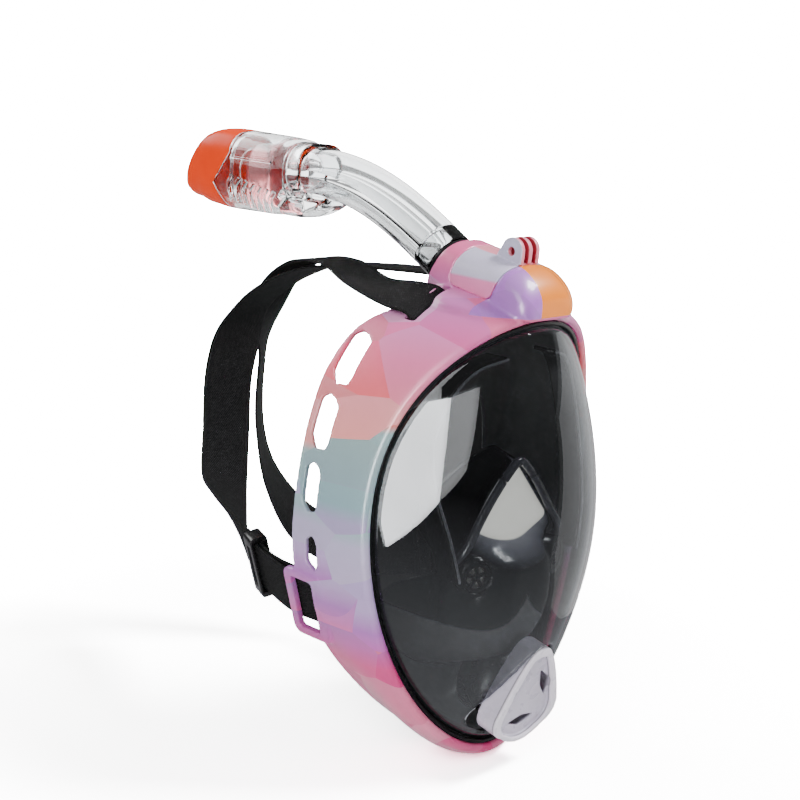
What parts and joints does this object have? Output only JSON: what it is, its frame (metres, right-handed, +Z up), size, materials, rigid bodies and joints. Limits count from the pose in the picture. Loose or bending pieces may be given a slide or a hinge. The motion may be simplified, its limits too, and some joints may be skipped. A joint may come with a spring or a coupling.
{
  "type": "full face snorkel mask",
  "caption": "Full face snorkel mask with a curved smoked lens, printed frame, chin purge vent, plug-in dry-top snorkel, camera mount and elastic head harness.",
  "frame": {"origin": "middle of the face seal, between the eyes' height and the nose, where the mask meets the wearer's face", "axes": "+X towards the wearer's left, -Y the way the wearer looks, +Z up towards the snorkel"},
  "size_m": [0.196, 0.311, 0.3337],
  "materials": {
    "printed_shell": "satin faceted colour print under clear coat",
    "smoked_lens": "polished smoked polycarbonate",
    "black_gasket": "satin",
    "black_silicone": "soft satin silicone",
    "black_plastic": "moulded",
    "screw_steel": "stainless",
    "flap_silicone": "translucent grey silicone",
    "vent_plastic": "satin lavender",
    "clear_plastic": "clear moulded polycarbonate",
    "orange_plastic": "polished signal orange",
    "red_float": "clear red moulding",
    "red_rubber": "satin",
    "black_webbing": "woven elastic"
  },
  "bodies": {
    "mask": {"frame": "printed_shell", "camera_mount": "printed_shell", "lens": "smoked_lens", "lens_gasket": "black_gasket", "face_skirt": "black_silicone", "skirt_retainer": "black_plastic", "retainer_screw_1": "screw_steel", "retainer_screw_2": "screw_steel", "retainer_screw_3": "screw_steel", "retainer_screw_4": "screw_steel", "orinasal_pocket": "black_silicone", "intake_valve_seat_left": "black_plastic", "intake_valve_seat_right": "black_plastic", "eye_chamber_wall_left": "black_silicone", "eye_chamber_wall_right": "black_silicone", "chin_vent_cover": "vent_plastic", "chin_valve_seat": "black_plastic", "strap_to_right_jaw": "black_webbing", "strap_to_left_jaw": "black_webbing"},
    "snorkel": {"snorkel_tube": "clear_plastic", "snorkel_plug": "clear_plastic", "plug_oring": "black_gasket", "socket_seal": "black_gasket", "dry_top_housing": "clear_plastic", "dry_top_cap": "orange_plastic", "inlet_seat": "clear_plastic"},
    "float_valve": {"float": "red_float", "float_seal": "red_rubber"},
    "intake_flap_left": {"intake_valve_flap_left": "flap_silicone"},
    "intake_flap_right": {"intake_valve_flap_right": "flap_silicone"},
    "chin_flap": {"chin_valve_flap": "flap_silicone"},
    "slider_left": {"strap_slider_left": "black_plastic"},
    "slider_right": {"strap_slider_right": "black_plastic"}
  },
  "joints": [
    {"name": "snorkel_release", "type": "slide", "parent": "mask", "child": "snorkel", "axis": [0, 0.866, 0.5], "range_m": [0, 0.03]},
    {"name": "float_rise", "type": "slide", "parent": "snorkel", "child": "float_valve", "axis": [0, 1, 0], "range_m": [0, 0.0075]},
    {"name": "intake_left_lift", "type": "slide", "parent": "mask", "child": "intake_flap_left", "axis": [-0.342, 0.9397, 0], "range_m": [0, 0.0015], "stiffness_N_per_m": 20},
    {"name": "intake_right_lift", "type": "slide", "parent": "mask", "child": "intake_flap_right", "axis": [0.342, 0.9397, 0], "range_m": [0, 0.0015], "stiffness_N_per_m": 20},
    {"name": "chin_flap_lift", "type": "slide", "parent": "mask", "child": "chin_flap", "axis": [0, -1, 0], "range_m": [0, 0.002], "stiffness_N_per_m": 20},
    {"name": "slider_left_adjust", "type": "slide", "parent": "mask", "child": "slider_left", "axis": [0.2406, -0.918, 0.3152], "range_m": [-0.003, 0.003]},
    {"name": "slider_right_adjust", "type": "slide", "parent": "mask", "child": "slider_right", "axis": [-0.3202, -0.9445, -0.0738], "range_m": [-0.003, 0.003]}
  ]
}
